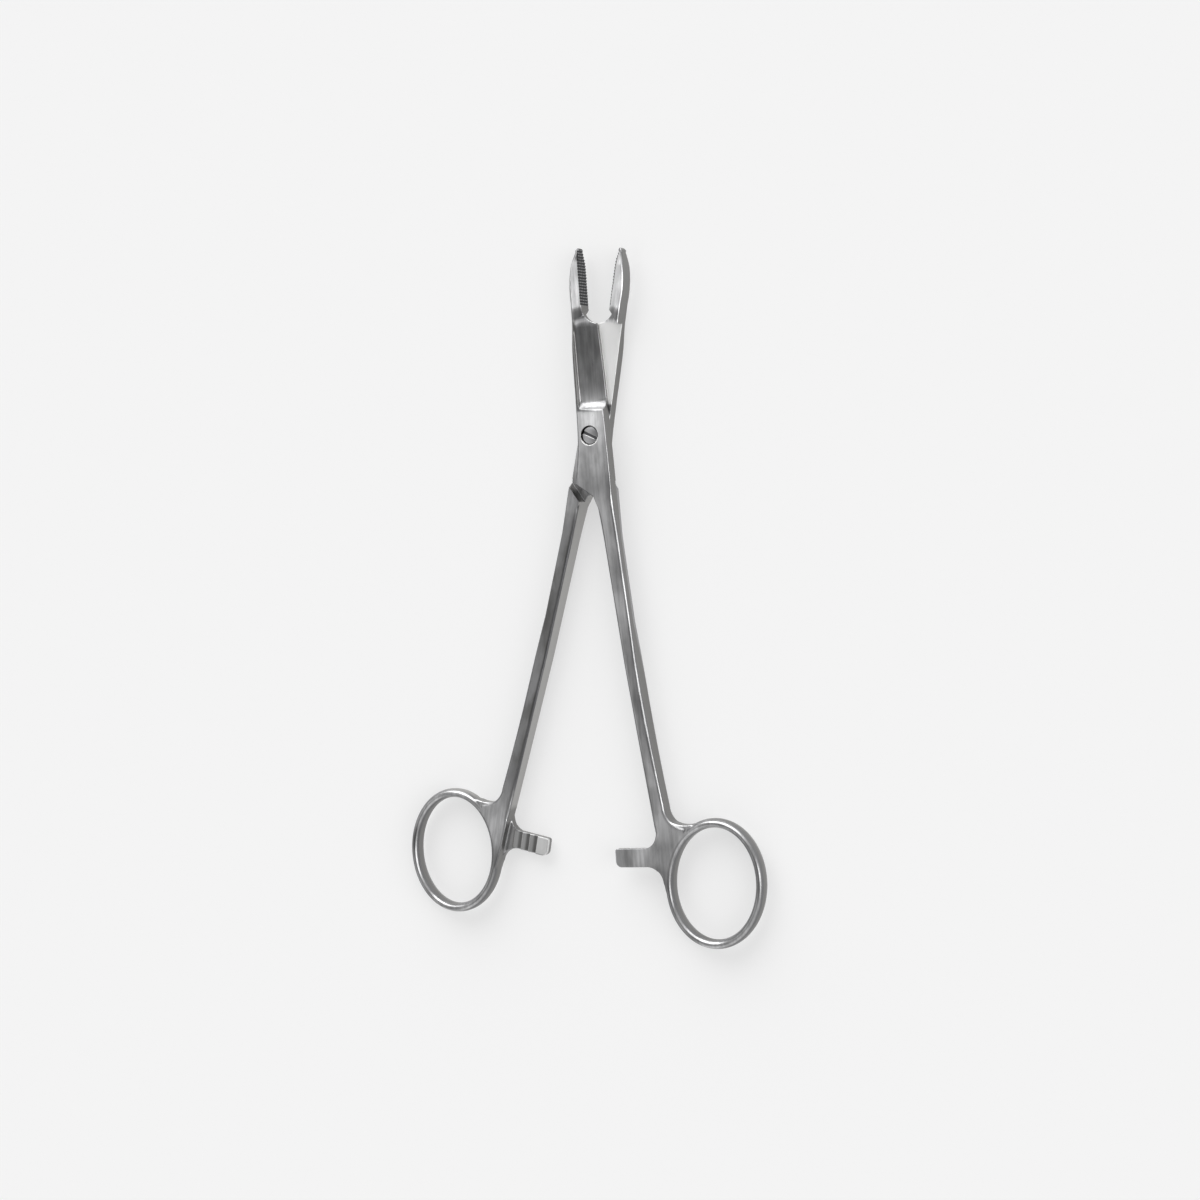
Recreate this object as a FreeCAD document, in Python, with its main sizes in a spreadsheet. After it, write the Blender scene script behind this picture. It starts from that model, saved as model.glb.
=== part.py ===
import FreeCAD, Part
import math
import os
import Sketcher

# A surgical needle holder with scissor blades behind its jaws. Sizes are in millimetres and degrees.
# Both halves are drawn closed, with the jaws towards +Y, their meeting line at X = 0 and the lap plane,
# where the halves slide on each other, at Z = 0. The half that is drawn lies in front of the lap plane,
# with its jaw on the -X side and its ring on the +X side. The other half is the same forging turned over.

size = {
    # How far each half is turned from closed, about the screw
    "half_opening": 7.0,
    # Lap joint: thickness of each half, and the film between the two lap faces
    "lap_thickness": 3.2,
    "lap_film": 0.03,
    # Jaw: reach is measured from the screw towards the tip, out is measured away from the meeting line,
    # back is measured from the place named first towards the screw, and up towards the tip
    "tip_reach": 48.0,
    "tip_crown_out": 0.8,
    "tip_inner_back": 0.7,
    "tip_outer_back": 1.0,
    "tip_outer_out": 1.05,
    "jaw_bow_back": 5.7,
    "jaw_bow_out": 2.62,
    "jaw_root_reach": 34.0,
    "jaw_root_out": 3.2,
    "jaw_heel_reach": 32.8,
    "jaw_tip_film": 0.06,
    "jaw_heel_film": 0.25,
    "past_tip_half_depth": 0.9,
    "jaw_half_depth": 2.2,
    "jaw_taper_back": 4.5,
    "jaw_front_reach": 31.0,
    # Teeth of the jaw: rows across the face and one line along it
    "tooth_depth": 0.3,
    "tooth_half_mouth": 0.42,
    "tooth_rows": 18,
    "tooth_last_back": 1.1,
    "tooth_first_up": 1.35,
    "middle_line_up": 0.75,
    "middle_line_depth": 0.2,
    "middle_line_half_mouth": 0.25,
    # Scissor blade
    "blade_end_reach": 28.35,
    "blade_end_in": 3.3,
    "blade_notch_up": 1.15,
    "blade_notch_in": 1.2,
    "blade_point_back": 0.55,
    "blade_point_in": 3.65,
    "blade_belly_reach": 19.0,
    "blade_belly_in": 4.15,
    "blade_heel_reach": 8.6,
    "blade_heel_in": 4.5,
    "blade_back_reach": 5.0,
    "blade_back_out": 3.5,
    "blade_thickness": 2.25,
    "blade_face_tilt": 12.0,
    "blade_land_out": 2.4,
    "blade_land_angle": 0.5,
    "blade_face_reach": 9.1,
    "step_middle_reach": 7.3,
    "step_middle_height": 2.87,
    "step_top_reach": 6.1,
    "step_top_height": 4.7,
    # Smooth slope from the jaw's depth up to the joint's
    "slope_low_back": 2.75,
    "slope_low_half_depth": 2.3242,
    "slope_middle_back": 5.5,
    "slope_middle_half_depth": 2.7,
    "slope_high_back": 8.25,
    "slope_high_half_depth": 3.0758,
    "slope_end_back": 11.0,
    # Hollow between the blade's end and the jaw, from a back station to a front one across the blade
    "hollow_up": 0.25,
    "hollow_back_out": 2.35,
    "hollow_back_height": 2.8,
    "hollow_back_floor_up": 0.3,
    "hollow_back_floor": 2.3,
    "hollow_back_top_up": 0.7,
    "hollow_front_in": 4.0,
    "hollow_front_height": 1.4,
    "hollow_front_floor_up": 6.0,
    "hollow_front_floor": 0.2,
    "hollow_front_top_up": 7.9,
    "hollow_top": 2.6,
    # Relief behind the jaw's root, which the other blade's point turns into
    "relief_side_reach": 27.4,
    "relief_side_out": 4.6,
    "relief_top_reach": 36.1,
    "relief_top_in": 3.5,
    # Joint outline: drop is measured from the screw towards the rings
    "waist_drop": 3.0,
    "waist_out": 3.85,
    "flare_drop": 11.9,
    "flare_out": 5.45,
    "crotch_drop": 15.9,
    "crotch_out": 0.1,
    "joint_side_drop": 10.0,
    "joint_side_in": 5.0,
    # Shoulder of the shank, where the lap starts
    "shoulder_low_drop": 19.9,
    "shoulder_low_out": 2.3,
    "shoulder_high_drop": 9.9,
    "shoulder_high_in": 8.0,
    # Shank outline
    "shank_top_drop": 17.6,
    "shank_top_inner": 0.45,
    "shank_middle_drop": 58.8,
    "shank_middle_inner": 4.3,
    "shank_middle_outer": 7.85,
    "shank_bow_drop": 78.5,
    "shank_bow_inner": 6.55,
    "shank_bow_outer": 10.05,
    "shank_outer_top_drop": 20.0,
    "shank_outer_top": 5.2,
    # Depth of the shank along its length
    "joint_end_drop": 16.5,
    "neck_middle_drop": 21.5,
    "neck_middle_half_depth": 2.78,
    "neck_drop": 28.0,
    "neck_half_depth": 2.5,
    "shank_half_depth": 2.1,
    "shank_edge_round": 0.75,
    # Bevel on the outer back of the neck, fading out along the shank: four stations, each with a front and
    # a back corner
    "bevel_front_height": 1.6,
    "bevel_back_depth": 3.3,
    "bevel_depth": 4.5,
    "bevel_beyond": 3.4,
    "bevel_top_drop": 12.0,
    "bevel_top_front_out": 5.4,
    "bevel_top_back_out": 3.75,
    "bevel_neck_drop": 26.0,
    "bevel_neck_front_out": 6.0,
    "bevel_neck_back_out": 4.05,
    "bevel_middle_drop": 48.0,
    "bevel_middle_front_out": 7.5,
    "bevel_middle_back_out": 5.8,
    "bevel_low_drop": 86.0,
    "bevel_low_front_out": 11.4,
    "bevel_low_back_out": 10.9,
    # Finger ring: an oval tube, its centre and the half lengths of its middle line. At this end of the
    # half, rise is measured from the ring's centre towards the screw and in towards the meeting line
    "ring_drop": 115.1,
    "ring_out": 24.65,
    "ring_tilt": -9.0,
    "ring_half_width": 12.6,
    "ring_half_length": 15.35,
    "ring_half_wall": 1.2,
    "ring_half_depth": 2.2,
    "ring_join_rise": 5.8,
    "ring_join_in": 11.45,
    "ring_bend_rise": 9.3,
    "ring_bend_in": 9.55,
    "ring_top_rise": 12.1,
    "ring_top_in": 7.05,
    # Web between the shank's low end and the ring
    "shank_low_rise": 20.1,
    "shank_low_in": 12.25,
    "web_middle_rise": 16.1,
    "web_middle_in": 10.65,
    "web_foot_rise": 14.2,
    "web_foot_in": 6.65,
    "web_inner_rise": 11.1,
    "web_inner_in": 15.05,
    # Ratchet arm, whose end crosses the meeting line
    "arm_end_out": 2.45,
    "arm_top_rise": 9.3,
    "arm_width": 4.8,
    "arm_top_round": 0.7,
    "arm_bottom_round": 1.5,
    "arm_top_corner": 0.2,
    "arm_bottom_corner": 0.45,
    "arm_root_in": 18.05,
    "arm_fillet_top_in": 16.35,
    "arm_fillet_top_up": 0.9,
    "arm_fillet_end_up": 3.3,
    "arm_fillet_end_in": 15.2,
    "arm_inside_in": 12.45,
    "arm_fillet_low_in": 15.75,
    "arm_fillet_low_down": 0.8,
    "arm_fillet_foot_down": 4.4,
    "arm_fillet_foot_in": 13.95,
    "arm_film": 0.05,
    "ratchet_first": 0.95,
    "ratchet_pitch": 2.3,
    "ratchet_depth": 0.7,
    "ratchet_teeth": 3,
    # Screw
    "screw_radius": 1.5,
    "screw_head_radius": 2.15,
    "screw_head_thickness": 1.3,
    "screw_dome": 0.25,
    "screw_dome_middle": 0.13,
    "screw_sink": 0.2,
    "screw_bearing_film": 0.03,
    "screw_seat_film": 0.03,
    "seat_radius": 2.45,
    "slot_half_width": 0.4,
    "slot_depth": 0.6,
    "slot_angle": -20.6,
    "edge_round": 0.35,
    "jaw_edge_round": 0.6,
}

doc = FreeCAD.newDocument("needle_holder")
sheet = doc.addObject("Spreadsheet::Sheet", "sizes")
for row, (name, value) in enumerate(size.items(), start=1):
    sheet.set("A%d" % row, name)
    sheet.set("B%d" % row, str(value))
    sheet.setAlias("B%d" % row, name)
doc.recompute()


def total(words):
    """The value of a sum of sizes, such as "tip_reach - tip_inner_back"."""
    amount = 0.0
    sign = 1.0
    for word in words.split():
        if word in "+-":
            sign = 1.0 if word == "+" else -1.0
        else:
            amount += sign * (size[word] if word in size else float(word))
            sign = 1.0
    return amount


def formula(words):
    """The same sum written for the document, where it follows the sheet."""
    return " ".join("sizes." + word if word in size else word for word in words.split())


def sketch_on(body, name, role, shift="0"):
    """An empty sketch on one of the body's own origin planes, shifted along the plane's normal."""
    plane = [feature for feature in body.Origin.OriginFeatures if feature.Role == role][0]
    sketch = body.newObject("Sketcher::SketchObject", body.Name + "_" + name)
    sketch.AttachmentSupport = [(plane, "")]
    sketch.MapMode = "FlatFace"
    sketch.setExpression("AttachmentOffset.Base.z", formula(shift))
    return sketch


def place(sketch, edge, end, across, along):
    """Ties one point of the sketch to the sheet, by its two distances from the sketch's origin."""
    for kind, words in (("DistanceX", across), ("DistanceY", along)):
        index = sketch.addConstraint(Sketcher.Constraint(kind, -1, 1, edge, end, total(words)))
        sketch.setExpression("Constraints[%d]" % index, formula(words))


def outline(sketch, stations):
    """A closed line through the stations. One with four values bends through its last two on its way."""
    corners = [FreeCAD.Vector(total(station[0]), total(station[1]), 0) for station in stations]
    starts = []
    for index, station in enumerate(stations):
        start = corners[index]
        finish = corners[(index + 1) % len(corners)]
        if len(station) == 4:
            bend = FreeCAD.Vector(total(station[2]), total(station[3]), 0)
            edge = sketch.addGeometry(Part.ArcOfCircle(start, bend, finish))
            point = sketch.addGeometry(Part.Point(bend), True)
            sketch.addConstraint(Sketcher.Constraint("PointOnObject", point, 1, edge))
            place(sketch, point, 1, station[2], station[3])
        else:
            edge = sketch.addGeometry(Part.LineSegment(start, finish))
        near = (sketch.getPoint(edge, 1) - start).Length < (sketch.getPoint(edge, 2) - start).Length
        starts.append((edge, 1 if near else 2))
        place(sketch, edge, starts[-1][1], station[0], station[1])
    for index, (edge, end) in enumerate(starts):
        following, first = starts[(index + 1) % len(starts)]
        sketch.addConstraint(Sketcher.Constraint("Coincident", edge, 3 - end, following, first))


def circle(sketch, radius):
    """A circle about the sketch's origin."""
    edge = sketch.addGeometry(Part.Circle(FreeCAD.Vector(), FreeCAD.Vector(0, 0, 1), total(radius)))
    sketch.addConstraint(Sketcher.Constraint("Coincident", edge, 3, -1, 1))
    index = sketch.addConstraint(Sketcher.Constraint("Radius", edge, total(radius)))
    sketch.setExpression("Constraints[%d]" % index, formula(radius))


def oval(sketch, across, along, centre="0"):
    """An ellipse by its two half lengths, centred on the sketch's first axis."""
    middle = FreeCAD.Vector(total(centre), 0, 0)
    long_first = total(across) > total(along)
    far = middle + (FreeCAD.Vector(total(across), 0, 0) if long_first else FreeCAD.Vector(0, total(along), 0))
    near = middle + (FreeCAD.Vector(0, total(along), 0) if long_first else FreeCAD.Vector(total(across), 0, 0))
    edge = sketch.addGeometry(Part.Ellipse(far, near, middle))
    place(sketch, edge, 3, centre, "0")
    sketch.exposeInternalGeometry(edge)
    long_words, short_words = (across, along) if long_first else (along, across)
    for axis, words in ((edge + 1, long_words), (edge + 2, short_words)):
        index = sketch.addConstraint(Sketcher.Constraint("Distance", axis, 2 * total(words)))
        sketch.setExpression("Constraints[%d]" % index, "2 * (" + formula(words) + ")")
    sketch.addConstraint(Sketcher.Constraint("Horizontal" if long_first else "Vertical", edge + 1))


def pad(body, sketch, length):
    """Adds material from the sketch along its normal."""
    feature = body.newObject("PartDesign::Pad", sketch.Name + "_pad")
    feature.Profile = sketch
    feature.setExpression("Length", formula(length))
    return feature


def pocket(body, sketch, both_ways=False, away=False, length=None):
    """Cuts the sketch out of the body, right through it or to a length."""
    feature = body.newObject("PartDesign::Pocket", sketch.Name + "_pocket")
    feature.Profile = sketch
    feature.SideType = "Symmetric" if both_ways else "One side"
    feature.Reversed = away
    if length:
        feature.setExpression("Length", formula(length))
    else:
        feature.Type = "ThroughAll"
    return feature


def edges_where(feature, test, lengthwise=False):
    """Names of the feature's edges whose middle point passes the test, all or only those along the part."""
    names = []
    for index, edge in enumerate(feature.Shape.Edges, start=1):
        halfway = (edge.FirstParameter + edge.LastParameter) / 2
        runs = edge.tangentAt(halfway)
        if test(edge.valueAt(halfway)) and (abs(runs.y) > abs(runs.x) or not lengthwise):
            names.append("Edge%d" % index)
    return names


def half(name, threaded):
    """One forging: jaw, scissor blade, half of the lap joint, shank, finger ring and ratchet arm."""
    body = doc.addObject("PartDesign::Body", name)

    # The blank: the whole outline seen from the front, as thick as the joint
    plan = sketch_on(body, "plan", "XY_Plane")
    outline(plan, [
        ("- jaw_tip_film", "tip_reach - tip_inner_back", "- tip_crown_out", "tip_reach"),
        ("- tip_outer_out", "tip_reach - tip_outer_back", "- jaw_bow_out", "tip_reach - jaw_bow_back"),
        ("- jaw_root_out", "jaw_root_reach"),
        ("- blade_back_out", "blade_back_reach", "- waist_out", "- waist_drop"),
        ("- flare_out", "- flare_drop"),
        ("- crotch_out", "- crotch_drop"),
        ("shank_top_inner", "- shank_top_drop"),
        ("shank_middle_inner", "- shank_middle_drop", "shank_bow_inner", "- shank_bow_drop"),
        ("ring_out - web_inner_in", "web_inner_rise - ring_drop"),
        ("ring_out - ring_join_in", "ring_join_rise - ring_drop",
         "ring_out - ring_bend_in", "ring_bend_rise - ring_drop"),
        ("ring_out - ring_top_in", "ring_top_rise - ring_drop"),
        ("ring_out - web_foot_in", "web_foot_rise - ring_drop",
         "ring_out - web_middle_in", "web_middle_rise - ring_drop"),
        ("ring_out - shank_low_in", "shank_low_rise - ring_drop", "shank_bow_outer", "- shank_bow_drop"),
        ("shank_middle_outer", "- shank_middle_drop"),
        ("shank_outer_top", "- shank_outer_top_drop"),
        ("joint_side_in", "- joint_side_drop"),
        ("blade_heel_in", "blade_heel_reach", "blade_belly_in", "blade_belly_reach"),
        ("blade_point_in", "blade_end_reach - blade_point_back"),
        ("blade_end_in", "blade_end_reach", "blade_notch_in", "blade_end_reach + blade_notch_up"),
        ("- jaw_heel_film", "jaw_heel_reach"),
    ])
    blank = pad(body, plan, "lap_thickness + lap_thickness")
    blank.SideType = "Symmetric"

    # The depth along the length, ground away in front and behind alike
    profile = sketch_on(body, "profile", "YZ_Plane")
    outline(profile, [
        ("tip_reach + lap_thickness", "past_tip_half_depth"),
        ("tip_reach - jaw_taper_back", "jaw_half_depth"),
        ("jaw_front_reach", "jaw_half_depth", "jaw_front_reach - slope_low_back", "slope_low_half_depth"),
        ("jaw_front_reach - slope_middle_back", "slope_middle_half_depth",
         "jaw_front_reach - slope_high_back", "slope_high_half_depth"),
        ("jaw_front_reach - slope_end_back", "lap_thickness"),
        ("- joint_end_drop", "lap_thickness", "- neck_middle_drop", "neck_middle_half_depth"),
        ("- neck_drop", "neck_half_depth"),
        ("shank_low_rise - ring_drop", "shank_half_depth"),
        ("- ring_drop - ring_half_length", "shank_half_depth"),
        ("- ring_drop - ring_half_length", "lap_thickness + lap_thickness"),
        ("tip_reach + lap_thickness", "lap_thickness + lap_thickness"),
    ])
    front_depth = pocket(body, profile, both_ways=True)
    both_depths = body.newObject("PartDesign::Mirrored", body.Name + "_back_depth")
    both_depths.Originals = [front_depth]
    both_depths.MirrorPlane = ([f for f in body.Origin.OriginFeatures if f.Role == "XY_Plane"][0], [""])
    body.Tip = both_depths
    doc.recompute()

    # Rounded edges of the shank
    shank_edges = edges_where(both_depths, lambda p: (
        total("web_foot_rise - ring_drop") < p.y < -total("shank_top_drop")
        and abs(p.z) > total("shank_half_depth") - total("lap_film")), lengthwise=True)
    rounding = body.newObject("PartDesign::Fillet", body.Name + "_shank_rounding")
    rounding.Base = (both_depths, shank_edges)
    rounding.setExpression("Radius", formula("shank_edge_round"))
    doc.recompute()

    # Rounded outer edges of the jaw
    jaw_edges = edges_where(rounding, lambda p: (
        p.y > total("jaw_front_reach - slope_end_back") and p.x < -total("tip_outer_out")
        and total("past_tip_half_depth") < abs(p.z) < total("lap_thickness")), lengthwise=True)
    jaw_rounding = body.newObject("PartDesign::Fillet", body.Name + "_jaw_rounding")
    jaw_rounding.Base = (rounding, jaw_edges)
    jaw_rounding.setExpression("Radius", formula("jaw_edge_round"))
    doc.recompute()

    # The bevel on the outer back of the neck
    bevel_stations = []
    for place_name in ("top", "neck", "middle", "low"):
        station = sketch_on(body, "bevel_" + place_name, "XZ_Plane", "bevel_%s_drop" % place_name)
        outline(station, [
            ("bevel_%s_front_out" % place_name, "bevel_front_height"),
            ("bevel_%s_back_out" % place_name, "- bevel_back_depth"),
            ("bevel_%s_back_out" % place_name, "- bevel_depth"),
            ("bevel_%s_front_out + bevel_beyond" % place_name, "- bevel_depth"),
            ("bevel_%s_front_out + bevel_beyond" % place_name, "bevel_front_height"),
        ])
        bevel_stations.append(station)
    bevel = body.newObject("PartDesign::SubtractiveLoft", body.Name + "_bevel")
    bevel.Profile = bevel_stations[0]
    bevel.Sections = bevel_stations[1:]
    bevel.Ruled = True
    doc.recompute()

    # The lap: the back of the joint and blade is milled away between the shoulder and the jaw's relief
    lap = sketch_on(body, "lap", "XY_Plane", "lap_film")
    outline(lap, [
        ("- shoulder_high_in", "relief_side_reach"),
        ("- shoulder_high_in", "- shoulder_low_drop"),
        ("- shoulder_low_out", "- shoulder_low_drop"),
        ("shoulder_high_in", "- shoulder_high_drop"),
        ("shoulder_high_in", "relief_top_reach"),
        ("relief_top_in", "relief_top_reach"),
        ("- relief_side_out", "relief_side_reach"),
    ])
    pocket(body, lap)

    # The blade's front face, ground at a tilt, with a hollow step up to the joint
    face = sketch_on(body, "blade_face", "YZ_Plane", "- blade_land_out")
    face.AttachmentOffset = FreeCAD.Placement(
        FreeCAD.Vector(0, 0, -total("blade_land_out")),
        FreeCAD.Rotation(FreeCAD.Vector(0, 1, 0), total("blade_land_angle")))
    outline(face, [
        ("step_top_reach", "step_top_height", "step_middle_reach", "step_middle_height"),
        ("blade_face_reach", "blade_thickness"),
        ("tip_reach + lap_thickness", "blade_thickness"),
        ("tip_reach + lap_thickness", "step_top_height + lap_thickness"),
        ("step_top_reach", "step_top_height + lap_thickness"),
    ])
    grind = pocket(body, face)
    tilt = math.radians(total("blade_face_tilt"))
    grind.UseCustomVector = True
    grind.Direction = FreeCAD.Vector(math.cos(tilt), 0, -math.sin(tilt))

    # The hollow that runs from the blade's end up to the jaw's root
    hollow_back = sketch_on(body, "hollow_back", "YZ_Plane", "- hollow_back_out")
    outline(hollow_back, [
        ("blade_end_reach + hollow_up", "step_top_height"),
        ("blade_end_reach + hollow_up", "hollow_back_height"),
        ("blade_end_reach + hollow_up + hollow_back_floor_up", "hollow_back_floor"),
        ("blade_end_reach + hollow_up + hollow_back_top_up", "hollow_top"),
        ("blade_end_reach + hollow_up + hollow_back_top_up", "step_top_height"),
    ])
    hollow_front = sketch_on(body, "hollow_front", "YZ_Plane", "hollow_front_in")
    outline(hollow_front, [
        ("blade_end_reach + hollow_up", "step_top_height"),
        ("blade_end_reach + hollow_up", "hollow_front_height"),
        ("blade_end_reach + hollow_up + hollow_front_floor_up", "hollow_front_floor"),
        ("blade_end_reach + hollow_up + hollow_front_top_up", "hollow_top"),
        ("blade_end_reach + hollow_up + hollow_front_top_up", "step_top_height"),
    ])
    hollow = body.newObject("PartDesign::SubtractiveLoft", body.Name + "_hollow")
    hollow.Profile = hollow_back
    hollow.Sections = [hollow_front]
    hollow.Ruled = True
    doc.recompute()

    # Teeth of the jaw: rows of grooves across its face, and one groove along it
    groove = sketch_on(body, "jaw_tooth", "XY_Plane")
    outline(groove, [
        ("- jaw_tip_film - tooth_depth", "tip_reach - tooth_last_back"),
        ("jaw_tip_film", "tip_reach - tooth_last_back - tooth_half_mouth"),
        ("jaw_tip_film", "tip_reach - tooth_last_back + tooth_half_mouth"),
    ])
    first_groove = pocket(body, groove, both_ways=True)
    grooves = body.newObject("PartDesign::LinearPattern", body.Name + "_jaw_teeth")
    grooves.Originals = [first_groove]
    grooves.Direction = (groove, ["V_Axis"])
    grooves.Reversed = True
    grooves.Mode = "Extent"
    grooves.setExpression("Length", formula("tip_reach - tooth_last_back - jaw_heel_reach - tooth_first_up"))
    grooves.setExpression("Occurrences", formula("tooth_rows"))
    body.Tip = grooves
    doc.recompute()
    line = sketch_on(body, "jaw_line", "XZ_Plane", "- jaw_heel_reach - middle_line_up")
    outline(line, [
        ("- jaw_tip_film - middle_line_depth", "0"),
        ("jaw_tip_film", "middle_line_half_mouth"),
        ("jaw_tip_film", "- middle_line_half_mouth"),
    ])
    pocket(body, line)
    doc.recompute()

    # Finger ring
    ring_line = sketch_on(body, "ring_line", "XY_Plane")
    ring_line.setExpression("AttachmentOffset.Base.x", formula("ring_out"))
    ring_line.setExpression("AttachmentOffset.Base.y", formula("- ring_drop"))
    ring_line.setExpression("AttachmentOffset.Rotation.Angle", formula("ring_tilt"))
    oval(ring_line, "ring_half_width", "ring_half_length")
    section = sketch_on(body, "ring_section", "YZ_Plane", "ring_out")
    section.AttachmentOffset = FreeCAD.Placement(
        FreeCAD.Vector(-total("ring_drop"), 0, total("ring_out")),
        FreeCAD.Rotation(FreeCAD.Vector(0, 1, 0), total("ring_tilt")))
    oval(section, "ring_half_wall", "ring_half_depth", "ring_half_length")
    ring = body.newObject("PartDesign::AdditivePipe", body.Name + "_ring")
    ring.Profile = section
    ring.Spine = (ring_line, ["Edge1"])
    doc.recompute()

    # Ratchet arm, half as deep as the shank
    top = "arm_top_rise - ring_drop"
    bottom = top + " - arm_width"
    arm = sketch_on(body, "arm", "XY_Plane", "arm_film")
    outline(arm, [
        ("- arm_end_out", top + " - arm_top_round", "- arm_end_out + arm_top_corner", top + " - arm_top_corner"),
        ("- arm_end_out + arm_top_round", top),
        ("ring_out - arm_root_in", top, "ring_out - arm_fillet_top_in", top + " + arm_fillet_top_up"),
        ("ring_out - arm_fillet_end_in", top + " + arm_fillet_end_up"),
        ("ring_out - arm_inside_in", top + " + arm_fillet_end_up"),
        ("ring_out - arm_inside_in", bottom + " - arm_fillet_foot_down"),
        ("ring_out - arm_fillet_foot_in", bottom + " - arm_fillet_foot_down",
         "ring_out - arm_fillet_low_in", bottom + " - arm_fillet_low_down"),
        ("ring_out - arm_root_in", bottom),
        ("- arm_end_out + arm_bottom_round", bottom,
         "- arm_end_out + arm_bottom_corner", bottom + " + arm_bottom_corner"),
        ("- arm_end_out", bottom + " + arm_bottom_round"),
    ])
    pad(body, arm, "shank_half_depth - arm_film")
    doc.recompute()

    # Ratchet teeth: a ramp up towards the shank and a steep face behind the raised end
    tooth = sketch_on(body, "ratchet_tooth", "XZ_Plane", "ring_drop - arm_top_rise - arm_top_round")
    outline(tooth, [
        ("ratchet_first", "0"),
        ("ratchet_first + ratchet_pitch", "0"),
        ("ratchet_first + ratchet_pitch", "arm_film"),
        ("ratchet_first", "arm_film + ratchet_depth"),
    ])
    first_tooth = pocket(body, tooth, away=True, length="arm_width + ring_half_depth")
    teeth = body.newObject("PartDesign::LinearPattern", body.Name + "_ratchet")
    teeth.Originals = [first_tooth]
    teeth.Direction = (tooth, ["H_Axis"])
    teeth.Mode = "Spacing"
    teeth.setExpression("Offset", formula("ratchet_pitch"))
    teeth.setExpression("Occurrences", formula("ratchet_teeth"))
    body.Tip = teeth
    doc.recompute()

    # Hole for the screw: threaded to it in the rear half, a bearing and a seat for its head in the front one
    hole = sketch_on(body, "screw_hole", "XY_Plane")
    if threaded:
        circle(hole, "screw_radius")
        pocket(body, hole, both_ways=True)
        last = body.Tip
    else:
        circle(hole, "screw_radius + screw_bearing_film")
        pocket(body, hole, both_ways=True)
        seat = sketch_on(body, "screw_seat", "XY_Plane",
                         "lap_thickness - screw_sink - screw_head_thickness - screw_seat_film")
        circle(seat, "seat_radius")
        last = pocket(body, seat, away=True)
    doc.recompute()

    # Broken edges of the joint's front face
    joint_edges = edges_where(last, lambda p: (
        abs(p.z - total("lap_thickness")) < 0.001 and p.y > -total("crotch_drop")
        and (abs(p.x) > total("waist_out") - total("edge_round") or p.y < -total("flare_drop"))))
    breaking = body.newObject("PartDesign::Fillet", body.Name + "_edge_rounding")
    breaking.Base = (last, joint_edges)
    breaking.setExpression("Radius", formula("edge_round"))
    doc.recompute()
    return body


def screw():
    """The pivot screw: slotted domed head, plain neck, and an end peened flush with the back."""
    body = doc.addObject("PartDesign::Body", "pivot_screw")
    turned = sketch_on(body, "turned", "XZ_Plane")
    outline(turned, [
        ("0", "- lap_thickness"),
        ("screw_radius", "- lap_thickness"),
        ("screw_radius", "lap_thickness - screw_sink - screw_head_thickness"),
        ("screw_head_radius", "lap_thickness - screw_sink - screw_head_thickness"),
        ("screw_head_radius", "lap_thickness - screw_sink - screw_dome",
         "screw_radius", "lap_thickness - screw_sink - screw_dome + screw_dome_middle"),
        ("0", "lap_thickness - screw_sink"),
    ])
    spun = body.newObject("PartDesign::Revolution", "screw_turned")
    spun.Profile = turned
    spun.ReferenceAxis = (turned, ["V_Axis"])
    spun.Angle = 360.0
    doc.recompute()
    slot = sketch_on(body, "slot", "XY_Plane", "lap_thickness - screw_sink - slot_depth")
    slot.setExpression("AttachmentOffset.Rotation.Angle", formula("slot_angle"))
    outline(slot, [
        ("- seat_radius", "- slot_half_width"),
        ("seat_radius", "- slot_half_width"),
        ("seat_radius", "slot_half_width"),
        ("- seat_radius", "slot_half_width"),
    ])
    pocket(body, slot, away=True)
    doc.recompute()
    return body


def report(item):
    """Stops the build if an object of the document has failed."""
    bad = [state for state in item.State if state in ("Invalid", "Error")]
    if bad:
        raise RuntimeError(item.Label + " failed: " + ", ".join(bad))


front = half("front_half", threaded=False)
rear = half("rear_half", threaded=True)
pin = screw()

# At rest the part lies on the back of its joint, with the screw's axis through the origin
upper = FreeCAD.Vector(0, 0, 1)
side = FreeCAD.Vector(0, 1, 0)
rest = FreeCAD.Vector(0, 0, size["lap_thickness"])
turned_over = FreeCAD.Rotation(side, 180)
front.Placement = FreeCAD.Placement(rest, FreeCAD.Rotation(upper, size["half_opening"]))
rear.Placement = FreeCAD.Placement(rest, FreeCAD.Rotation(upper, -size["half_opening"]).multiply(turned_over))
pin.Placement = FreeCAD.Placement(rest, FreeCAD.Rotation())
doc.recompute()

for item in doc.Objects:
    report(item)
    if item.isDerivedFrom("PartDesign::Feature") and not (item.Shape.isValid() and len(item.Shape.Solids) == 1):
        raise RuntimeError(item.Label + " is not one valid solid")
pieces = [front, rear, pin]
for piece in pieces:
    if piece.Shape.isNull() or not piece.Shape.isValid():
        raise RuntimeError(piece.Label + " has no valid shape")
os.makedirs("parts", exist_ok=True)
for piece in pieces:
    piece.Shape.exportStep("parts/" + piece.Label + ".step")
    box = piece.Shape.BoundBox
    print(piece.Label, "volume", round(piece.Shape.Volume, 1), "solids", len(piece.Shape.Solids), box)
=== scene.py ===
import math

import bmesh
import bpy
from mathutils import Matrix, Vector


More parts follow.
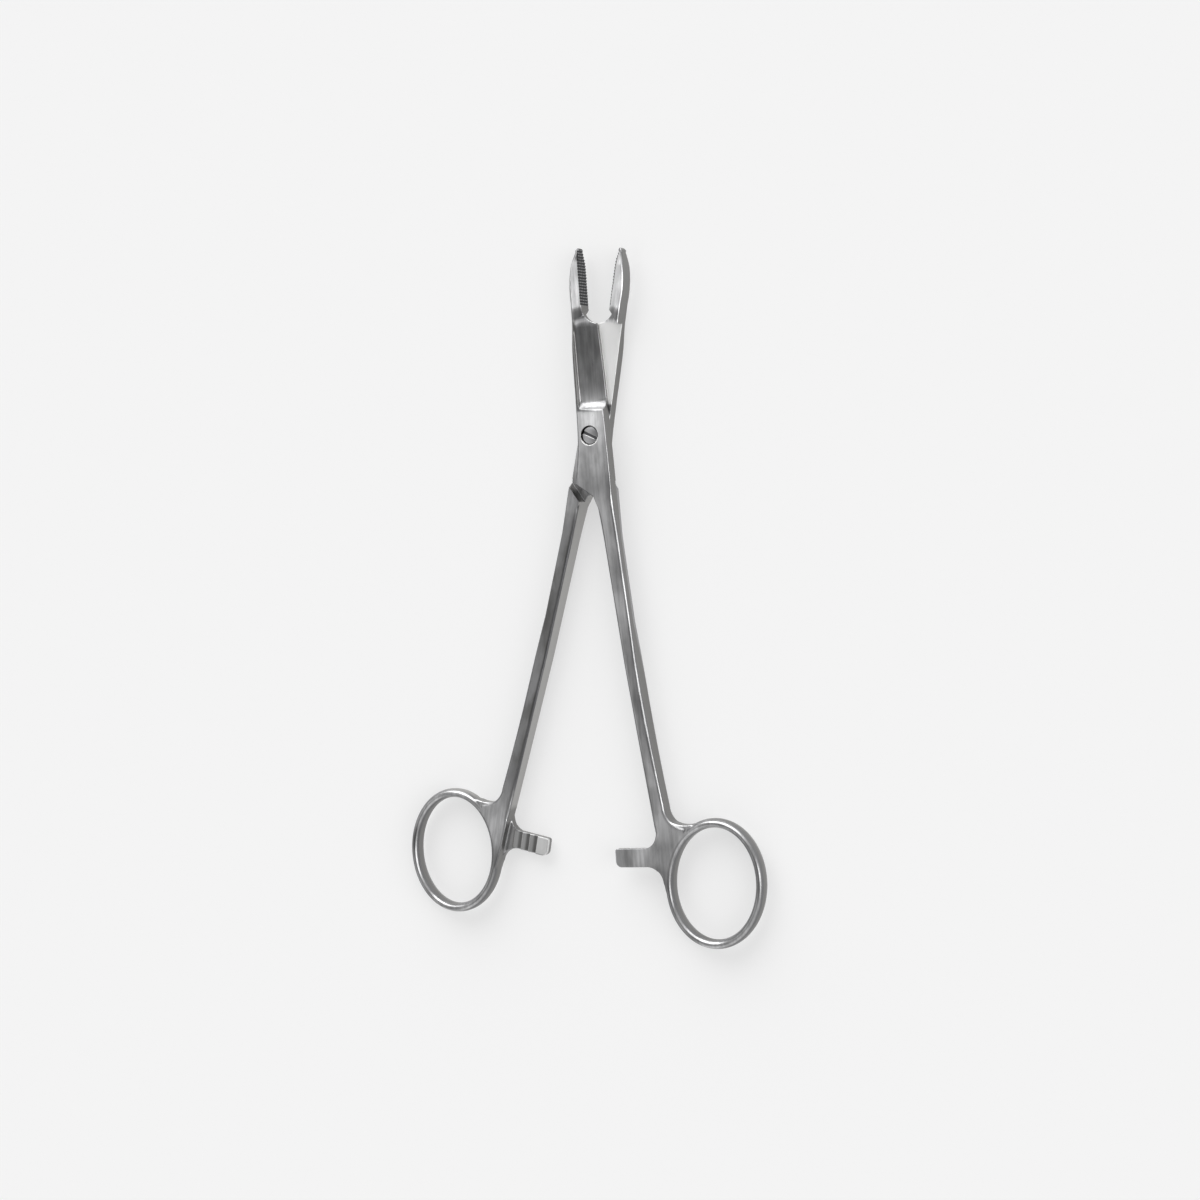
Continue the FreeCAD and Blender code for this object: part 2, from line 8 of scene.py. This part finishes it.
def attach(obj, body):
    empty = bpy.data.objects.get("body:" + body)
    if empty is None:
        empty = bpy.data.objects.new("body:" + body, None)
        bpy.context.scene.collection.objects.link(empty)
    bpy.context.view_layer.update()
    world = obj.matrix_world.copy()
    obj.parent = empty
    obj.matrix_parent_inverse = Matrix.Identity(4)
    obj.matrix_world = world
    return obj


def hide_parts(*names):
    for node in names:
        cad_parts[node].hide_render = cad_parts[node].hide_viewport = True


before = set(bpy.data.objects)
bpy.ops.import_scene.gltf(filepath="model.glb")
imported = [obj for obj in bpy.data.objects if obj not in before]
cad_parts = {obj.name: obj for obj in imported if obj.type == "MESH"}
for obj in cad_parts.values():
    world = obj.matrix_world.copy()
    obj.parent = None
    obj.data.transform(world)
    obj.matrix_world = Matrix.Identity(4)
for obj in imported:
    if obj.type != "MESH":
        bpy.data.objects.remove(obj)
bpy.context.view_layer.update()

scene = bpy.context.scene
scene.view_settings.view_transform = "Standard"

# The camera looks down on the instrument from its right, a little above the joint, and leans slightly
# to one side, as the photographer held it.
TURN = math.radians(29.0)
LIFT = math.radians(3.8)
LEAN = math.radians(1.68)
AIM = Vector((0.002809, -0.042019, 0.0032))
DISTANCE = 0.59253
SENSOR_WIDTH = 36.0
LENS = 69.36
NEAR = 0.01
FAR = 60.0
towards_camera = Vector((math.sin(TURN) * math.cos(LIFT), math.sin(LIFT), math.cos(TURN) * math.cos(LIFT)))
level = Vector((math.cos(TURN), 0.0, -math.sin(TURN)))
upright = towards_camera.cross(level)
right = math.cos(LEAN) * level + math.sin(LEAN) * upright
upward = math.cos(LEAN) * upright - math.sin(LEAN) * level
camera = bpy.data.objects.new("camera", bpy.data.cameras.new("camera"))
scene.collection.objects.link(camera)
camera.data.sensor_width = SENSOR_WIDTH
camera.data.lens = LENS
camera.data.clip_start = NEAR
camera.data.clip_end = FAR
camera.matrix_world = Matrix.Translation(AIM + towards_camera * DISTANCE) @ Matrix(
    (right, upward, towards_camera)).transposed().to_4x4()
scene.camera = camera

# The table: a plain pale sheet, matt, and wide enough to fill the picture from the photograph's side. It
# shows less than half of the shadow that it would take, because the photograph has hardly any.
TABLE_HALF_WIDTH = 18.0
TABLE_PAINT = (0.93, 0.93, 0.93, 1.0)
TABLE_GLOW = (0.905, 0.905, 0.905, 1.0)
SHADOW_LOST = 0.6
TABLE_ROUGHNESS = 0.9
table_shape = bmesh.new()
bmesh.ops.create_grid(table_shape, x_segments=1, y_segments=1, size=TABLE_HALF_WIDTH)
table_mesh = bpy.data.meshes.new("table")
table_shape.to_mesh(table_mesh)
table_shape.free()
table = bpy.data.objects.new("table", table_mesh)
scene.collection.objects.link(table)
table_paint = bpy.data.materials.new("pale_table")
table_paint.use_nodes = True
table_shader = table_paint.node_tree.nodes["Principled BSDF"]
table_shader.inputs["Base Color"].default_value = TABLE_PAINT
table_shader.inputs["Roughness"].default_value = TABLE_ROUGHNESS
table_shader.inputs["Specular IOR Level"].default_value = 0.0
table_nodes = table_paint.node_tree.nodes
table_links = table_paint.node_tree.links
glow = table_nodes.new("ShaderNodeEmission")
glow.inputs["Color"].default_value = TABLE_GLOW
seen_by = table_nodes.new("ShaderNodeLightPath")
direct = table_nodes.new("ShaderNodeMath")
direct.operation = "MAXIMUM"
any_view = table_nodes.new("ShaderNodeMath")
any_view.operation = "MAXIMUM"
part_shown = table_nodes.new("ShaderNodeMath")
part_shown.operation = "MULTIPLY"
part_shown.inputs[1].default_value = SHADOW_LOST
shown = table_nodes.new("ShaderNodeMixShader")
table_links.new(seen_by.outputs["Is Camera Ray"], direct.inputs[0])
table_links.new(seen_by.outputs["Is Glossy Ray"], direct.inputs[1])
table_links.new(direct.outputs["Value"], any_view.inputs[0])
table_links.new(seen_by.outputs["Is Transmission Ray"], any_view.inputs[1])
table_links.new(any_view.outputs["Value"], part_shown.inputs[0])
table_links.new(part_shown.outputs["Value"], shown.inputs["Fac"])
table_links.new(table_shader.outputs["BSDF"], shown.inputs[1])
table_links.new(glow.outputs["Emission"], shown.inputs[2])
table_links.new(shown.outputs["Shader"], table_nodes["Material Output"].inputs["Surface"])
table_mesh.materials.append(table_paint)

# The studio: a grey room with soft windows beyond the jaw tips and to the right, two dim ones, and dark
# cards overhead, at the left and below the rings, so that the steel has something to reflect.
# Each has its direction, the degrees from it where its fade starts and ends, and its light, negative for a
# card.
ROOM_LIGHT = 0.50
WINDOWS = (
    ((0.0, 0.0, 1.0), 5.0, 42.0, -0.30),
    ((-0.30, 1.0, 0.25), 20.0, 50.0, 3.2),
    ((0.86, 0.05, 0.50), 8.0, 26.0, 2.8),
    ((-1.0, -0.15, 0.0), 10.0, 50.0, -0.35),
    ((0.3, -1.0, -0.1), 5.0, 40.0, -0.25),
    ((-0.60, -0.10, 0.78), 6.0, 26.0, 0.25),
    ((0.1, -1.0, 0.30), 15.0, 45.0, 0.5),
)
world = bpy.data.worlds.new("studio")
scene.world = world
world.use_nodes = True
sky = world.node_tree.nodes
sky_links = world.node_tree.links
direction = sky.new("ShaderNodeTexCoord")
lit = None
for middle, narrow, wide, light in WINDOWS:
    towards = sky.new("ShaderNodeVectorMath")
    towards.operation = "DOT_PRODUCT"
    towards.inputs[1].default_value = Vector(middle).normalized()
    sky_links.new(direction.outputs["Generated"], towards.inputs[0])
    fade = sky.new("ShaderNodeMapRange")
    fade.interpolation_type = "SMOOTHSTEP"
    fade.inputs["From Min"].default_value = math.cos(math.radians(wide))
    fade.inputs["From Max"].default_value = math.cos(math.radians(narrow))
    fade.inputs["To Max"].default_value = light
    sky_links.new(towards.outputs["Value"], fade.inputs["Value"])
    added = sky.new("ShaderNodeMath")
    added.operation = "ADD"
    added.inputs[1].default_value = ROOM_LIGHT
    sky_links.new(fade.outputs["Result"], added.inputs[0])
    if lit:
        sky_links.new(lit, added.inputs[1])
    lit = added.outputs["Value"]
sky_links.new(lit, sky["Background"].inputs["Strength"])
sky["Background"].inputs["Color"].default_value = (1.0, 1.0, 1.0, 1.0)

# The two halves: drop-forged stainless steel, ground to shape, satin brushed and tumbled, so every edge
# is slightly rounded, the web runs smoothly into the ring, and the flats are never quite even.
HALF_OPENING = math.radians(7.0)
LAP_HEIGHT = 0.0032
HALF_FINE = 0.0001
HALF_FACES_KEPT = 0.205
SAME_POINT = 0.000002
TIP_ROUND_START = 0.0430
TIP_ROUND_LENGTH = 0.0053
TIP_ROUNDNESS = 0.50
TIP_END_START = 0.0464
TIP_END_LENGTH = 0.0017
TIP_END_ROUNDNESS = 0.88
TIP_END_DROP = 0.0001
WEB_FACE = 0.0021
WEB_INNER_RUNOUT = (
    (0.0096, -0.1035), (0.0099, -0.1070), (0.0102, -0.1105), (0.0107, -0.1140), (0.0112, -0.1170),
    (0.0120, -0.1170), (0.0122, -0.1131), (0.0131, -0.1093), (0.0125, -0.1050),
)
WEB_OUTER_FACE = 0.0017
WEB_OUTER_RUNOUT = (
    (0.0139, -0.0991), (0.0148, -0.0995), (0.0160, -0.0999), (0.0173, -0.1001), (0.0186, -0.1001),
    (0.0199, -0.0999), (0.0205, -0.1010), (0.0191, -0.1018), (0.0170, -0.1025), (0.0142, -0.1010),
)


def own(point, flipped):
    """A point of the scene in the closed half's own axes, seen with its ring on the right."""
    lifted = Vector((point.x, point.y, point.z - LAP_HEIGHT))
    if flipped:
        lifted = Vector((-lifted.x, lifted.y, -lifted.z))
    return Matrix.Rotation(-HALF_OPENING, 3, "Z") @ lifted


def placed(point, flipped):
    """A point of the half's own axes, in the scene."""
    opened = Matrix.Rotation(HALF_OPENING, 3, "Z") @ Vector(point)
    if flipped:
        opened = Vector((-opened.x, opened.y, -opened.z))
    return opened + Vector((0.0, 0.0, LAP_HEIGHT))


def web_runout(shape, outline, face, flipped):
    """The web's last taper along the ring, as far out of the lap plane in front as behind."""
    flat = shape.faces.new([shape.verts.new(placed((x, y, -face), flipped)) for x, y in outline])
    grown = bmesh.ops.extrude_face_region(shape, geom=[flat])["geom"]
    bmesh.ops.translate(shape, verts=[part for part in grown if isinstance(part, bmesh.types.BMVert)],
                        vec=placed((0.0, 0.0, face), flipped) - placed((0.0, 0.0, -face), flipped))
    around = {side for part in grown if isinstance(part, bmesh.types.BMVert) for side in part.link_faces}
    bmesh.ops.recalc_face_normals(shape, faces=[flat, *around])


def even_mesh(name, node, fine, flipped=None):
    """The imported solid's surface in small even faces, with a half's runout of the web."""
    shape = bmesh.new()
    shape.from_mesh(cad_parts[node].data)
    bmesh.ops.remove_doubles(shape, verts=shape.verts, dist=SAME_POINT)
    if flipped is not None:
        web_runout(shape, WEB_INNER_RUNOUT, WEB_FACE, flipped)
        web_runout(shape, WEB_OUTER_RUNOUT, WEB_OUTER_FACE, flipped)
    mesh = bpy.data.meshes.new(name + "_rough")
    shape.to_mesh(mesh)
    shape.free()
    blank = bpy.data.objects.new(name, mesh)
    scene.collection.objects.link(blank)
    even = blank.modifiers.new("even_faces", "REMESH")
    even.mode = "VOXEL"
    even.voxel_size = fine
    finished = bpy.data.meshes.new_from_object(blank.evaluated_get(bpy.context.evaluated_depsgraph_get()))
    finished.name = name
    blank.modifiers.clear()
    blank.data = finished
    bpy.data.meshes.remove(mesh)
    return blank


def worn(piece, places, rounds, share):
    """Relaxes the surface, so many times over the points whose places pass each test, and thins its faces."""
    for times, test in rounds:
        group = piece.vertex_groups.new(name="worn_%d" % len(piece.vertex_groups))
        group.add([index for index, place in enumerate(places) if test(place)], 1.0, "REPLACE")
        relax = piece.modifiers.new(group.name, "SMOOTH")
        relax.vertex_group = group.name
        relax.factor = 0.5
        relax.iterations = times
    thin = piece.modifiers.new("fewer_faces", "DECIMATE")
    thin.ratio = share
    finished = bpy.data.meshes.new_from_object(piece.evaluated_get(bpy.context.evaluated_depsgraph_get()))
    finished.name = piece.name
    finished.shade_smooth()
    piece.modifiers.clear()
    piece.vertex_groups.clear()
    spare = piece.data
    piece.data = finished
    bpy.data.meshes.remove(spare)


class Steel:
    """A node material that is built up one part at a time."""

    def __init__(self, name, turn, flip, lift):
        self.material = bpy.data.materials.new(name)
        self.material.use_nodes = True
        self.nodes = self.material.node_tree.nodes
        self.links = self.material.node_tree.links
        self.shader = self.nodes["Principled BSDF"]
        self.shader.inputs["Metallic"].default_value = 1.0
        self.coordinates = self.add("ShaderNodeTexCoord")
        self.point = self.add("ShaderNodeMapping")
        self.point.inputs["Location"].default_value = (0.0, 0.0, lift)
        self.point.inputs["Rotation"].default_value = (0.0, flip, turn)
        self.link(self.coordinates.outputs["Object"], self.point.inputs["Vector"])
        axes = self.add("ShaderNodeSeparateXYZ")
        self.link(self.point.outputs["Vector"], axes.inputs["Vector"])
        self.x, self.y, self.z = (axes.outputs[axis] for axis in "XYZ")

    def add(self, kind, **settings):
        node = self.nodes.new(kind)
        for setting, value in settings.items():
            setattr(node, setting, value)
        return node

    def link(self, output, socket):
        self.links.new(output, socket)

    def sum(self, operation, first, second=0.0):
        """A sum of one or two values, each of them a number or another node's output."""
        node = self.add("ShaderNodeMath", operation=operation)
        for socket, value in zip(node.inputs, (first, second)):
            if isinstance(value, (int, float)):
                socket.default_value = value
            else:
                self.link(value, socket)
        return node.outputs["Value"]

    def ramp(self, value, low, high, first, last):
        """A smooth change from the first amount to the last as the value passes between two limits."""
        step = self.add("ShaderNodeMapRange", interpolation_type="SMOOTHSTEP")
        step.inputs["From Min"].default_value = low
        step.inputs["From Max"].default_value = high
        step.inputs["To Min"].default_value = first
        step.inputs["To Max"].default_value = last
        self.link(value, step.inputs["Value"])
        return step.outputs["Result"]

    def between(self, value, low, high, soft):
        """1 where the value lies between two limits, fading to 0 over a soft edge on each side."""
        return self.sum("MULTIPLY", self.ramp(value, low - soft, low + soft, 0.0, 1.0),
                        self.ramp(value, high - soft, high + soft, 1.0, 0.0))

    def grain(self, stretch, detail):
        """Noise, drawn out by the stretch along each axis of the half."""
        drawn = self.add("ShaderNodeMapping")
        drawn.inputs["Scale"].default_value = stretch
        self.link(self.point.outputs["Vector"], drawn.inputs["Vector"])
        noise = self.add("ShaderNodeTexNoise")
        noise.inputs["Scale"].default_value = 1.0
        noise.inputs["Detail"].default_value = detail
        self.link(drawn.outputs["Vector"], noise.inputs["Vector"])
        return noise.outputs["Fac"]

    def blend(self, share, first, second):
        """A colour between two, by the share. Each is a colour or another node's output."""
        mix = self.add("ShaderNodeMix", data_type="RGBA")
        self.link(share, mix.inputs["Factor"])
        for socket, value in ((mix.inputs["A"], first), (mix.inputs["B"], second)):
            if isinstance(value, tuple):
                socket.default_value = value
            else:
                self.link(value, socket)
        return mix.outputs["Result"]

    def from_pivot(self):
        """How far the point is from the pivot's axis."""
        squares = self.sum("ADD", self.sum("POWER", self.x, 2.0), self.sum("POWER", self.y, 2.0))
        return self.sum("POWER", squares, 0.5)

    def relief(self, height, distance, strength, under=None):
        """Bumps by a height, on top of others if they are given."""
        bump = self.add("ShaderNodeBump")
        bump.inputs["Strength"].default_value = strength
        bump.inputs["Distance"].default_value = distance
        self.link(height, bump.inputs["Height"])
        if under:
            self.link(under, bump.inputs["Normal"])
        return bump.outputs["Normal"]


# Painted light and shade along a half, from the ring's far end to the jaw's tip: grey bands that stand in for
# the reflections on its flats. Then the places of its other finishes and painted marks in metres: along the
# half from the pivot, across it from its middle line, and out from the lap.
LIGHT_AND_SHADE_BANDS = (
    (-0.130, 0.46), (-0.1215, 0.50), (-0.1150, 0.27), (-0.1085, 0.50), (-0.090, 0.46),
    (-0.030, 0.48), (-0.018, 0.46), (-0.0125, 0.36), (-0.004, 0.60), (0.0055, 0.86),
    (0.0066, 0.25), (0.0077, 0.30), (0.0090, 0.68), (0.0135, 0.46), (0.0180, 0.42),
    (0.0235, 0.34), (0.0280, 0.34), (0.0284, 0.78), (0.0295, 0.78), (0.0300, 0.30),
    (0.0318, 0.36), (0.0332, 0.92), (0.0440, 0.92), (0.0464, 0.42), (0.0500, 0.25),
)
SIDE_SHADE_GREY = (0.235, 0.232, 0.227, 1.0)
REAR_SIDE_PALER_SHADE = (0.42, 0.415, 0.405, 1.0)
REAR_SIDE_ALONG = (-0.1000, -0.0095)
REAR_SHANK_FLAT = (0.34, 0.34, 0.345, 1.0)
REAR_SHANK_DARK = (0.19, 0.188, 0.185, 1.0)
REAR_SHANK_EDGE_SHADE = (0.15, 0.15, 0.155, 1.0)
REAR_SHANK_ALONG = (-0.0950, -0.0215)
EDGE_SHADE = (0.12, 0.12, 0.125, 1.0)
PAINTED_HIGHLIGHT = (0.88, 0.88, 0.875, 1.0)
LAP_ALONG = (0.0085, 0.0290)
LAP_OUT = (-0.00025, 0.00020)
LAND_ALONG = (0.0080, 0.0295)
LAND_ACROSS = (-0.0026, -0.0020)
LAND_OUT = (0.0010, 0.0014)
SEAT_RIM = (0.00245, 0.00270)
SEAT_RIM_LIT = (-0.0014, -0.0002)
SEAT_RIM_OUT = (0.0018, 0.0020)
TOOTH_SHADE = (0.05, 0.05, 0.052, 1.0)
TOOTH_CREST_LIGHT = (0.36, 0.36, 0.365, 1.0)
TEETH_ALONG = (0.0333, 0.0478)
TEETH_ACROSS = (-0.00050, 0.0008)
TOOTH_PITCH = 0.00075
TOOTH_COLUMN = 0.00085
RATCHET_ALONG = (-0.1104, -0.1058)
RATCHET_ACROSS = (0.0080, 0.0088)
RATCHET_OUT = (0.0008, 0.0010)
RATCHET_FIRST = 0.00095
RATCHET_PITCH = 0.0023
BRUSH_LINES = (7000.0, 240.0, 7000.0)
STREAKS = (1700.0, 80.0, 1700.0)
CLOUDS = (300.0, 130.0, 300.0)
WAVES = (90.0, 55.0, 90.0)
TONE_WANDER = 0.0004
WAVE_HEIGHT = 0.0016
BRUSH_HEIGHT = 0.00003
BRUSH_STRENGTH = 0.12
POLISH = 0.24


def half_steel(name, flipped):
    """Satin steel with brush lines along it, painted light and shade in bands, painted shade on its sides and
    edges, a ground lap painted pale as a highlight and painted shade in its teeth.
    """
    steel = Steel(name, -HALF_OPENING, math.pi if flipped else 0.0, LAP_HEIGHT if flipped else -LAP_HEIGHT)
    brush = steel.grain(BRUSH_LINES, 3.0)
    streak = steel.grain(STREAKS, 2.0)
    mottle = steel.grain(CLOUDS, 4.0)
    wave = steel.grain(WAVES, 0.0)
    # lap: the ground lap face, which takes a painted highlight.
    lap = steel.sum("MULTIPLY", steel.between(steel.z, *LAP_OUT, 0.00004),
                    steel.between(steel.y, *LAP_ALONG, 0.0003))
    facing = steel.add("ShaderNodeSeparateXYZ")
    steel.link(steel.coordinates.outputs["Normal"], facing.inputs["Vector"])
    level = steel.sum("ABSOLUTE", facing.outputs["Z"])
    # side: how far a face turns away from the front; such faces take a painted shade.
    side = steel.ramp(level, 0.15, 0.75, 1.0, 0.0)

    # The long satin flats, with painted highlights and shade in bands along their length, and clouded by use.
    painted_bands = steel.add("ShaderNodeValToRGB")
    painted_bands.color_ramp.interpolation = "EASE"
    length = LIGHT_AND_SHADE_BANDS[-1][0] - LIGHT_AND_SHADE_BANDS[0][0]
    for index, (place, shade) in enumerate(LIGHT_AND_SHADE_BANDS):
        stops = painted_bands.color_ramp.elements
        stop = stops[index] if index < 2 else stops.new(1.0)
        stop.position = (place - LIGHT_AND_SHADE_BANDS[0][0]) / length
        stop.color = (shade, shade, shade * 1.01, 1.0)
    where = steel.sum("ADD", steel.y, steel.ramp(mottle, 0.3, 0.7, -TONE_WANDER, TONE_WANDER))
    steel.link(steel.sum("DIVIDE", steel.sum("SUBTRACT", where, LIGHT_AND_SHADE_BANDS[0][0]), length), painted_bands.inputs["Fac"])
    cloud = steel.add("ShaderNodeMix", data_type="RGBA", blend_type="MULTIPLY")
    cloud.inputs["Factor"].default_value = 1.0
    steel.link(painted_bands.outputs["Color"], cloud.inputs["A"])
    steel.link(steel.sum("MULTIPLY", steel.ramp(mottle, 0.3, 0.7, 0.76, 1.20),
                         steel.ramp(streak, 0.3, 0.7, 0.88, 1.12)), cloud.inputs["B"])
    colour = cloud.outputs["Result"]

    # The rear half's shank is darker and mottled, with painted shade on its bevelled edges. Its sides take a
    # paler painted shade than the front half's.
    if flipped:
        shank = steel.between(steel.y, *REAR_SHANK_ALONG, 0.0040)
        mottled_darker = steel.blend(steel.ramp(mottle, 0.3, 0.7, 0.0, 1.0), REAR_SHANK_DARK, REAR_SHANK_FLAT)
        colour = steel.blend(shank, colour, mottled_darker)
    # Faces turned aside take a painted shade, and the rear half's sides a paler one.
    colour = steel.blend(side, colour, SIDE_SHADE_GREY)
    if flipped:
        paler_shaded_side = steel.sum("MULTIPLY", side, steel.between(steel.y, *REAR_SIDE_ALONG, 0.0010))
        colour = steel.blend(paler_shaded_side, colour, REAR_SIDE_PALER_SHADE)
        # Painted shade on the rear shank's bevelled edges, by how far they turn from the front.
        shaded_bevel = steel.sum("MULTIPLY", shank, steel.between(level, 0.45, 0.93, 0.04))
        colour = steel.blend(shaded_bevel, colour, REAR_SHANK_EDGE_SHADE)

    # Painted shade on the blade's outer land and on the edges, the lit rim of the screw's seat and the ground
    # lap, painted pale as highlights.
    # Painted shade on the blade's outer land.
    land_shade = steel.sum("MULTIPLY", steel.between(steel.y, *LAND_ALONG, 0.0006),
                     steel.sum("MULTIPLY", steel.ramp(steel.x, *LAND_ACROSS, 1.0, 0.0),
                               steel.ramp(steel.z, *LAND_OUT, 0.0, 1.0)))
    colour = steel.blend(land_shade, colour, SIDE_SHADE_GREY)
    # Painted shade on the edges: those that face left, and rounded edges that face right.
    shaded_right_edges = steel.sum("MULTIPLY", steel.between(level, 0.25, 0.55, 0.06),
                            steel.ramp(facing.outputs["X"], 0.1, 0.4, 0.0, 0.8))
    shaded_edges = steel.sum("MAXIMUM", steel.ramp(facing.outputs["X"], -0.38, -0.08, 0.85, 0.0), shaded_right_edges)
    colour = steel.blend(shaded_edges, colour, EDGE_SHADE)
    # The seat's lit rim and the ground lap are painted pale, as highlights.
    rim = steel.sum("MULTIPLY", steel.between(steel.from_pivot(), *SEAT_RIM, 0.00006),
                    steel.sum("MULTIPLY", steel.ramp(steel.y, *SEAT_RIM_LIT, 1.0, 0.0),
                              steel.ramp(steel.z, *SEAT_RIM_OUT, 0.0, 1.0)))
    colour = steel.blend(rim, colour, PAINTED_HIGHLIGHT)
    colour = steel.blend(lap, colour, PAINTED_HIGHLIGHT)

    # Painted highlights on the ratchet's ramps where they face up, painted shade on the rest, and painted
    # shade in the jaw's teeth, lighter on their crests.
    ratchet = steel.sum("MULTIPLY", steel.between(steel.y, *RATCHET_ALONG, 0.0003),
                        steel.sum("MULTIPLY", steel.ramp(steel.x, *RATCHET_ACROSS, 0.7, 0.0),
                                  steel.ramp(steel.z, *RATCHET_OUT, 1.0, 0.0)))
    from_first = steel.sum("DIVIDE", steel.sum("SUBTRACT", steel.x, RATCHET_FIRST), RATCHET_PITCH)
    along_ramp = steel.sum("FLOORED_MODULO", from_first, 1.0)
    ramps = steel.sum("MULTIPLY", steel.ramp(along_ramp, 0.35, 0.65, 1.0, 0.0),
                      steel.ramp(steel.x, RATCHET_FIRST - 0.0001, RATCHET_FIRST, 0.0, 1.0))
    colour = steel.blend(ratchet, colour, steel.blend(ramps, PAINTED_HIGHLIGHT, SIDE_SHADE_GREY))
    # Painted shade in the jaw's teeth, lighter on their crests.
    jaw = steel.sum("MULTIPLY", steel.between(steel.x, *TEETH_ACROSS, 0.00008),
                    steel.between(steel.y, *TEETH_ALONG, 0.0002))
    row = steel.sum("SINE", steel.sum("MULTIPLY", steel.y, 2.0 * math.pi / TOOTH_PITCH))
    column = steel.sum("SINE", steel.sum("MULTIPLY", steel.z, 2.0 * math.pi / TOOTH_COLUMN))
    crest = steel.ramp(steel.sum("ADD", row, steel.sum("MULTIPLY", column, 0.6)), 0.3, 1.3, 0.0, 1.0)
    colour = steel.blend(jaw, colour, steel.blend(crest, TOOTH_SHADE, TOOTH_CREST_LIGHT))
    steel.link(colour, steel.shader.inputs["Base Color"])

    # The palest painted bands, the lap, the painted edge shade and the lit rim are dull. Brush lines break up
    # the gloss, on uneven flats.
    dull = steel.sum("MULTIPLY", steel.ramp(painted_bands.outputs["Color"], 0.55, 0.92, 0.0, 0.55),
                     steel.sum("SUBTRACT", 1.0, side))
    dull = steel.sum("MAXIMUM", dull, steel.sum("MULTIPLY", lap, 0.45))
    dull = steel.sum("MAXIMUM", dull, steel.sum("MAXIMUM", shaded_edges, rim))
    steel.link(steel.sum("SUBTRACT", 1.0, dull), steel.shader.inputs["Metallic"])
    rough = steel.sum("ADD", steel.sum("MULTIPLY", brush, 0.12), POLISH)
    rough = steel.sum("ADD", rough, steel.sum("MULTIPLY", lap, 0.2))
    steel.link(rough, steel.shader.inputs["Roughness"])
    uneven = steel.relief(wave, WAVE_HEIGHT, 1.0)
    steel.link(steel.relief(brush, BRUSH_HEIGHT, BRUSH_STRENGTH, uneven), steel.shader.inputs["Normal"])
    return steel.material


# Where the halves are worn: how many times a surface is relaxed, and which places in the half's own axes.
JAW_FOOT = 0.0335
TOOTH_DEPTH = 0.0008
RING_TOP = -0.096
WEB_SIDE = 0.0094
WEAR = (
    (7, lambda place: place.x < -TOOTH_DEPTH or place.y < JAW_FOOT),
    (2, lambda place: place.x >= -TOOTH_DEPTH and place.y >= JAW_FOOT),
    (110, lambda place: place.y < RING_TOP and place.x > WEB_SIDE),
    (5, lambda place: place.y < RING_TOP and place.x <= WEB_SIDE),
    (50, lambda place: -0.1050 < place.y < -0.1005 and 0.0084 < place.x < 0.0102),
    (60, lambda place: 0.0040 < place.y < 0.0125 and place.z > 0.0016),
    (30, lambda place: 0.0090 < place.y < 0.0300 and place.x < -0.0016 and place.z > 0.0012),
    (20, lambda place: place.y > JAW_FOOT and (place.x < -0.0010 or place.y > 0.0455)),
)
for side, node, flipped in (("front", "front_half", False), ("rear", "rear_half", True)):
    piece = even_mesh("%s_forging" % side, node, HALF_FINE, flipped)
    places = [own(point.co, flipped) for point in piece.data.vertices]
    for point, place in zip(piece.data.vertices, places):
        if place.y > TIP_ROUND_START:
            along = (place.y - TIP_ROUND_START) / TIP_ROUND_LENGTH
            at_end = max(0.0, place.y - TIP_END_START) / TIP_END_LENGTH
            slim = math.sqrt(1.0 - TIP_END_ROUNDNESS * at_end ** 2)
            thin = math.sqrt(1.0 - TIP_ROUNDNESS * along ** 2)
            point.co = placed((place.x * slim, place.y - TIP_END_DROP * at_end, place.z * thin), flipped)
    worn(piece, places, WEAR, HALF_FACES_KEPT)
    piece.data.materials.clear()
    piece.data.materials.append(half_steel("%s_satin_steel" % side, flipped))
    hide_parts(node)
    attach(piece, "%s_side" % side)

# The pivot screw: turned from stainless bar, slotted for a wide driver and sunk in its seat. It is threaded
# into the rear half, peened flush behind, and the front half turns on it.
SCREW_FINE = 0.00005
SCREW_FACES_KEPT = 0.5
HEAD_PALE = (0.55, 0.55, 0.56, 1.0)
SLOT_SHADE = (0.10, 0.10, 0.105, 1.0)
WALL_LIT = (0.95, 0.95, 0.95, 1.0)
SLOT_OUT = (0.00235, 0.00272)
SLOT_END = (0.0013, 0.0015)
TURNING_LINES = 42000.0
TURNING_HEIGHT = 0.00001
SCREW_ROUGHNESS = 0.28
screw = even_mesh("slotted_pivot_screw", "pivot_screw", SCREW_FINE)
worn(screw, [point.co for point in screw.data.vertices], ((2, lambda place: True),), SCREW_FACES_KEPT)
screw.data.materials.clear()
screw_steel = Steel("turned_screw_steel", 0.0, 0.0, -LAP_HEIGHT)
# Painted shade deeper in the slot, and a painted highlight on the slot's lit wall.
slot_shade = screw_steel.ramp(screw_steel.z, *SLOT_OUT, 1.0, 0.0)
lathe = screw_steel.from_pivot()
facing = screw_steel.add("ShaderNodeSeparateXYZ")
screw_steel.link(screw_steel.coordinates.outputs["Normal"], facing.inputs["Vector"])
lit_wall_highlight = screw_steel.sum("MULTIPLY", screw_steel.ramp(facing.outputs["X"], 0.10, 0.30, 0.0, 1.0),
                       screw_steel.sum("MULTIPLY", screw_steel.ramp(facing.outputs["Y"], 0.0, 0.3, 0.0, 1.0),
                                       screw_steel.ramp(lathe, *SLOT_END, 1.0, 0.0)))
finish = screw_steel.blend(lit_wall_highlight, screw_steel.blend(slot_shade, HEAD_PALE, SLOT_SHADE), WALL_LIT)
screw_steel.link(finish, screw_steel.shader.inputs["Base Color"])
screw_steel.link(screw_steel.sum("SUBTRACT", 1.0, lit_wall_highlight), screw_steel.shader.inputs["Metallic"])
rings = screw_steel.sum("SINE", screw_steel.sum("MULTIPLY", lathe, TURNING_LINES))
screw_steel.link(screw_steel.relief(rings, TURNING_HEIGHT, 0.2), screw_steel.shader.inputs["Normal"])
screw_steel.shader.inputs["Roughness"].default_value = SCREW_ROUGHNESS
screw.data.materials.append(screw_steel.material)
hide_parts("pivot_screw")
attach(screw, "rear_side")
